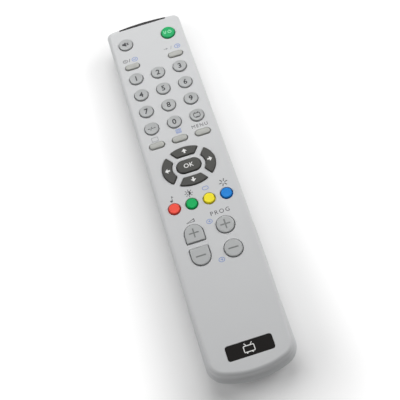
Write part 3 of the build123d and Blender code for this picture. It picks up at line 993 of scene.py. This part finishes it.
markForm = {
    "thick": 0.03,
    "sink": 0.05,
    "step": 0.002,  # from each solid of a sign to the next, so that no two tops share a plane
    "letterDepth": 0.01,  # only while a word is turned into faces
    "letterSteps": 6,
    # height, how much bolder than the font, and letter spacing
    "digit": (3.3, 0.022, 1.0),
    "OK": (2.5, 0.012, 1.08),
    "MENU": (1.95, 0.0, 1.32),
    "PROG": (2.25, 0.0, 1.35),
}


def wordShell(word, height, weight, spacing):
    # a word in the built-in font, centred, as a flat solid
    curve = bpy.data.curves.new("word", "FONT")
    curve.body = word
    curve.size = 1.0
    curve.offset = weight
    curve.space_character = spacing
    curve.extrude = markForm["letterDepth"]
    curve.resolution_u = markForm["letterSteps"]
    item = linked("word", curve)
    mesh = bakedMesh(item)
    points = [vertex.co.copy() for vertex in mesh.vertices]
    shell = Shell()
    shell.faces = [tuple(face.vertices) for face in mesh.polygons]
    bpy.data.objects.remove(item)
    lowX, highX = min(p.x for p in points), max(p.x for p in points)
    lowY, highY = min(p.y for p in points), max(p.y for p in points)
    scale = height / (highY - lowY)
    for p in points:
        z = markForm["thick"] if p.z > 0 else -markForm["sink"]
        shell.points.append(((p.x - (lowX + highX) / 2) * scale, (p.y - (lowY + highY) / 2) * scale, z))
    return shell


def signShell(*outlines):
    # flat solids, each an outline or an outline with its holes
    shell = Shell()
    for count, entry in enumerate(outlines):
        outline, inner = entry if isinstance(entry, tuple) else (entry, [])
        shell.prism(outline, -markForm["sink"], markForm["thick"] + count * markForm["step"], inner)
    return shell


def bar(startX, startY, endX, endY, wide):
    dx, dy = endX - startX, endY - startY
    length = math.hypot(dx, dy)
    asideX, asideY = -dy / length * wide / 2, dx / length * wide / 2
    return [(startX - asideX, startY - asideY), (endX - asideX, endY - asideY),
            (endX + asideX, endY + asideY), (startX + asideX, startY + asideY)]


def band(outline, wide):
    # the strip inside an outline, as an outline with one hole
    return (outline, [grown(outline, -wide)])


def arcBand(radius, wide, start, sweep, count=24):
    outer = arcPoints(0, 0, radius, start, sweep, count)
    inner = arcPoints(0, 0, radius - wide, start, sweep, count)
    return outer + inner[::-1]


def putMark(name, shell, x, y, top, body, colour, dish=None):
    # dish is the radius and depth of the hollow that the mark lies in
    placed = Shell()
    for px, py, pz in shell.points:
        lift = 0
        if dish:
            radius, depth = dish
            lift = -depth * (1 - min(1, (px * px + py * py) / radius ** 2))
        placed.points.append((px + x, py + y, pz + top + lift))
    placed.faces = shell.faces
    slot = "case_grey" if body == "housing" else "key_grey"
    addPiece(name, placed, body, slot, finish=inkAndShadeFinishes[colour], sharp=30)


def keyMarks():
    form = keyForm
    rim = form["gap"] + form["edge"]
    dish = (form["numberHole"] / 2 - rim, form["dish"])
    powerRadius = form["powerHole"] / 2 - rim

    def put(name, shell, node, colour, dish=None, x=0, y=0):
        middleX, middleY = middleOf(node)
        putMark(name, shell, middleX + x, middleY + y, keyTop(node), node, colour, dish)

    for digit in range(10):
        shell = wordShell(str(digit), *markForm["digit"])
        put(f"digit{digit}", shell, f"key_{digit}", "dark", dish, y=0.1)
    dashes = signShell(bar(-2.1, 0, -1.0, 0, 0.4), bar(-0.75, -1.1, 0.15, 1.1, 0.32),
                       bar(0.25, 0, 1.05, 0, 0.4), bar(1.35, 0, 2.15, 0, 0.4))
    put("digitsSign", dashes, "key_digits", "dark", dish)
    screen = signShell(band(boxOutline(3.8, 2.7, 0.6, 5), 0.32), bar(-1.2, 1.6, -0.5, 1.6, 0.3),
                       bar(0.5, 1.6, 1.2, 1.6, 0.3), bar(-1.2, -1.6, 1.2, -1.6, 0.3))
    put("screenSign", screen, "key_screen", "dark", dish)
    speaker = [(-1.9, -0.65), (-1.1, -0.65), (0.3, -1.55), (0.3, 1.55), (-1.1, 0.65), (-1.9, 0.65)]
    mute = signShell(speaker, bar(0.7, -0.85, 1.75, 0.85, 0.4), bar(0.7, 0.85, 1.75, -0.85, 0.4))
    put("muteSign", mute, "key_mute", "dark", (powerRadius, form["dish"]), x=-0.1, y=0.3)
    # the darker sheet laid in each plus and minus groove is painted shade in the groove
    for name in ("volume_up", "volume_down", "program_up", "program_down"):
        node = "key_" + name
        floor = keyTop(node) - signForm["depth"] + signForm["grooveShadeRise"]
        sign = signShell(*signOutlines(name, signForm["grooveShadeGap"]))
        putMark("sign" + inCamel(name), sign, *middleOf(node), floor, node, "groove")
    standby = signShell(bar(-2.2, -1.0, -2.2, 1.0, 0.36), bar(-1.6, -1.1, -0.9, 1.1, 0.3),
                        shifted(arcBand(1.1, 0.34, 115, 310), 1.0, -0.05), bar(1.0, 0.1, 1.0, 1.3, 0.34))
    put("powerSign", standby, "key_power", "mint", (powerRadius, form["powerDish"]), y=0.2)
    put("okSign", wordShell("OK", *markForm["OK"]), "key_ok", "white")
    arrow = [(-0.45, -1.3), (0.45, -1.3), (0.45, -0.15), (1.45, -0.15), (0, 1.4), (-1.45, -0.15),
             (-0.45, -0.15)]
    middleX, middleY = middleOf("key_ok")
    for name, turn, x, y in (("up", 0, 0, 8.8), ("down", 180, 0, -8.8),
                             ("left", 90, -11.4, 0), ("right", -90, 11.4, 0)):
        node = "key_" + name
        sign = signShell(turned(arrow, turn))
        putMark("arrow" + inCamel(name), sign, middleX + x, middleY + y, keyTop(node), node, "white")


def faceMarks():
    def put(name, shell, x, distance, colour):
        # distance is from the head end
        putMark(name, shell, x, headY - distance, faceZ, "housing", colour)

    slash = bar(-0.4, -1.1, 0.4, 1.1, 0.26)
    blueOval = band(scaled(roundOutline(3.0, 40), 1.15), 0.3)
    greyOval = band(scaled(roundOutline(2.3, 40), 1.25), 0.26)
    pause = [bar(x, 0.5, x, -0.5, 0.28) for x in (-0.35, 0.35)]
    put("ovalGrey", signShell(greyOval, *pause), -15.7, 25.7, "grey")
    put("slashLeft", signShell(slash), -13.3, 25.7, "grey")
    eye = shifted(scaled(roundOutline(1.0, 20), 0.7, 0.7), -0.4, 0)
    put("ovalBlueLeft", signShell(blueOval, eye, bar(0.5, -0.7, 0.5, 0.7, 0.3)), -10.2, 25.8, "blue")
    put("arrowGrey", signShell(bar(-1.2, 0, 0.3, 0, 0.3), [(0.2, -0.7), (1.3, 0), (0.2, 0.7)]),
        8.4, 25.3, "faint")
    put("slashRight", signShell(slash), 11.5, 25.3, "faint")
    put("ovalBlueRight", signShell(blueOval, bar(0.0, -0.8, 0.0, 0.8, 0.4), bar(0.7, -0.5, 0.7, 0.5, 0.3)),
        15.2, 25.4, "blue")
    put("screenFaint", signShell(band(boxOutline(3.7, 2.7, 0.5, 5), 0.28)), -12.8, 81.0, "faint")
    lines = [bar(-1.0, level, 1.0, level, 0.32) for level in (-0.7, 0.0, 0.7)]
    put("pageBlue", signShell(band(boxOutline(2.9, 2.7, 0.3, 4), 0.26), *lines), 0.6, 80.2, "blue")
    put("menuWord", wordShell("MENU", *markForm["MENU"]), 12.3, 80.6, "grey")
    note = signShell(shifted(scaled(roundOutline(1.3, 24), 1.1, 0.85), -0.35, -1.2),
                     bar(0.2, -1.2, 0.2, 1.6, 0.26), bar(0.1, 1.5, 1.0, 0.75, 0.34))
    put("noteSign", note, -13.7, 118.0, "grey")
    rays = [turned(bar(1.5, 0, 2.15, 0, 0.36), 45 * step) for step in range(8)]
    half = arcPoints(0, 0, 1.15, -90, 180, 20)
    put("sunSign", signShell(band(roundOutline(2.3, 32), 0.26), half, *rays), -4.5, 117.6, "dark")
    put("loopSign", signShell(band(slotOutline(3.4, 2.2, 16), 0.3)), 4.4, 117.5, "blue")
    spark = [turned(bar(0.7, 0, 2.3, 0, 0.42), 60 * step + 10) for step in range(6)]
    put("sparkSign", signShell(*spark), 14.0, 117.4, "dark")
    put("wedgeSign", signShell(band([(-2.3, -0.95), (2.3, -0.95), (2.3, 0.95)], 0.34)), -8.2, 132.7, "dark")
    put("programWord", wordShell("PROG", *markForm["PROG"]), 7.6, 132.4, "grey")
    plus = signShell(band(scaled(roundOutline(2.6, 36), 1.2), 0.26), bar(-0.6, 0, 0.6, 0, 0.3),
                     bar(0.25, -0.6, 0.25, 0.6, 0.3))
    put("roundBlueUp", plus, 1.0, 136.0, "blue")
    put("roundBlueDown", plus, 0.9, 157.2, "blue")


def plateMark():
    # a television set with two aerials and two feet
    x, y = middleOf("face_plate")
    picture = signShell(band(boxOutline(5.4, 3.3, 0.6, 6), 0.42),
                        bar(-1.1, 1.75, -1.9, 2.7, 0.4), bar(1.1, 1.75, 1.9, 2.7, 0.4),
                        bar(-1.6, -2.05, -1.0, -1.7, 0.4), bar(1.6, -2.05, 1.0, -1.7, 0.4))
    putMark("plateSign", picture, x, y - 0.3, boxOf("face_plate")[1][2], "housing", "white")


keyMarks()
faceMarks()
plateMark()
print("marks ready")


# Finishes of the solids that stay

flatNodes = ("lower_case", "battery_cover", "circuit_board", "key_mat", "control_chip", "resonator",
             "transistor")


def flatFinish(finish):
    # the same finish for solids with large flat faces
    flat = finish.copy()
    nodes, links = flat.node_tree.nodes, flat.node_tree.links
    surface = nodes.new("ShaderNodeNewGeometry")
    bump = next(node for node in nodes if node.bl_idname == "ShaderNodeBump")
    links.new(surface.outputs["True Normal"], bump.inputs["Normal"])
    return flat


def dressNodes():
    for node, item in frame["nodes"].items():
        finish = finishes[slots[node]]
        if node in flatNodes:
            finish = flatFinish(finish)
        if not item.material_slots:
            item.data.materials.append(finish)
        for place in item.material_slots:
            place.material = finish


dressNodes()
print("solids dressed")


# Studio, in metres

studio = {
    "floor": (240, 240, 240),
    "floorShade": 2,  # levels by which the paper's cloudy tone gets darker
    "floorScale": 3,
    "floorDetail": 2,
    "floorRough": 0.9,
    "floorShine": 0.1,
    "floorHalf": 4.0,
    "floorUnder": 0.05 * mm,  # how far the paper lies under the object
    # the paper's glow is weakest near the object, painted shade round it; far away it makes the paper
    # evenly white
    "floorLift": (0.06, 0.9),  # what the camera sees over the lit paper, near the object and far from it
    "liftReach": 0.08,  # from the object's edge to where the paper is fully white
    "world": (0.18, 1.0),  # as it lights the object, and as it is seen
    "keyPower": 1.46,
    "keySize": 0.45,
    "keyPlace": (0.05, 0.31, 0.42),
    "leftPower": 1.25,
    "leftPlace": (-0.6, 0.05, 0.4),
    "rightPower": 2.1,
    "rightPlace": (0.6, 0.12, 0.44),
    "sideSize": 0.5,
    "aim": (0, 0, 0.01),
}
camera = {
    "azimuth": -4.755,
    "elevation": 64.0,
    "roll": -13.01,
    "distance": 0.338026,
    "target": (-0.000097, -0.015649, 0.0185),
    "lens": 60.14,
    "sensor": 36,
    "near": 0.01,
}


def addLamp(name, power, size, place):
    lamp = bpy.data.lights.new(name, "AREA")
    lamp.shape = "DISK"
    lamp.size = size
    lamp.energy = power
    item = linked(name, lamp)
    item.location = place
    item.rotation_euler = (Vector(studio["aim"]) - Vector(place)).to_track_quat("-Z", "Y").to_euler()


def addMath(tree, operation, first, second):
    result = tree.nodes.new("ShaderNodeMath")
    result.operation = operation
    tree.links.new(first, result.inputs[0])
    tree.links.new(second, result.inputs[1])
    return result.outputs["Value"]


def seenRay(tree):
    # 1 where something is looked at or mirrored, 0 where it only lights the object
    ray = tree.nodes.new("ShaderNodeLightPath")
    seen = ray.outputs["Is Camera Ray"]
    for name in ("Is Glossy Ray", "Is Transmission Ray"):
        seen = addMath(tree, "MAXIMUM", seen, ray.outputs[name])
    return seen


def paperDistance(tree, place):
    # distance over the paper from the object's oblong
    beside = place
    steps = (("ABSOLUTE", None), ("SUBTRACT", (cadBox[1][0], cadBox[1][1], 0)), ("MAXIMUM", (0, 0, 0)))
    for operation, value in steps:
        step = tree.nodes.new("ShaderNodeVectorMath")
        step.operation = operation
        tree.links.new(beside, step.inputs[0])
        if value:
            step.inputs[1].default_value = value
        beside = step.outputs["Vector"]
    far = tree.nodes.new("ShaderNodeVectorMath")
    far.operation = "LENGTH"
    tree.links.new(beside, far.inputs[0])
    return far.outputs["Value"]


def addFloor():
    side, under = studio["floorHalf"], -studio["floorUnder"]
    mesh = bpy.data.meshes.new("floor")
    corners = [(x * side, y * side, under) for x, y in ((-1, -1), (1, -1), (1, 1), (-1, 1))]
    mesh.from_pydata(corners, [], [(0, 1, 2, 3)])
    finish, tree, shader, place = newFinish("floor paper")
    tone = addNoise(tree, place, studio["floorScale"], studio["floorDetail"])
    darker = linearColour(*[part - studio["floorShade"] for part in studio["floor"]])
    paper = addBlend(tree, tone, darker, linearColour(*studio["floor"]))
    tree.links.new(paper, shader.inputs["Base Color"])
    shader.inputs["Roughness"].default_value = studio["floorRough"]
    shader.inputs["Specular IOR Level"].default_value = studio["floorShine"]
    # glow for looking rays, weaker near the object: painted shade round the object
    level = addRange(tree, paperDistance(tree, place), (0, studio["liftReach"]), studio["floorLift"])
    lift = addMath(tree, "MULTIPLY", seenRay(tree), level)
    shader.inputs["Emission Color"].default_value = (1, 1, 1, 1)
    tree.links.new(lift, shader.inputs["Emission Strength"])
    mesh.materials.append(finish)
    item = linked("floor", mesh)


def addWorld():
    world = bpy.data.worlds.new("studio")
    world.use_nodes = True
    tree = world.node_tree
    back = tree.nodes["Background"]
    back.inputs["Color"].default_value = (1, 1, 1, 1)
    tree.links.new(addRange(tree, seenRay(tree), (0, 1), studio["world"]), back.inputs["Strength"])
    bpy.context.scene.world = world


def addCamera():
    azimuth, elevation, roll = (math.radians(camera[name]) for name in ("azimuth", "elevation", "roll"))
    level = math.cos(elevation)
    back = Vector((math.sin(azimuth) * level, -math.cos(azimuth) * level, math.sin(elevation)))
    side = (-back).cross(Vector((0, 0, 1))).normalized()
    up = side.cross(-back)
    right = side * math.cos(roll) + up * math.sin(roll)
    top = -side * math.sin(roll) + up * math.cos(roll)
    lens = bpy.data.cameras.new("camera")
    lens.lens = camera["lens"]
    lens.sensor_width = camera["sensor"]
    lens.clip_start = camera["near"]
    item = linked("camera", lens)
    item.matrix_world = Matrix((right, top, back)).transposed().to_4x4()
    item.location = Vector(camera["target"]) + back * camera["distance"]
    bpy.context.scene.camera = item


addFloor()
addWorld()
addLamp("keyLamp", studio["keyPower"], studio["keySize"], studio["keyPlace"])
for side in ("left", "right"):
    addLamp(side + "Lamp", studio[side + "Power"], studio["sideSize"], studio[side + "Place"])
addCamera()
bpy.context.scene.view_settings.view_transform = "Standard"
print("studio ready")
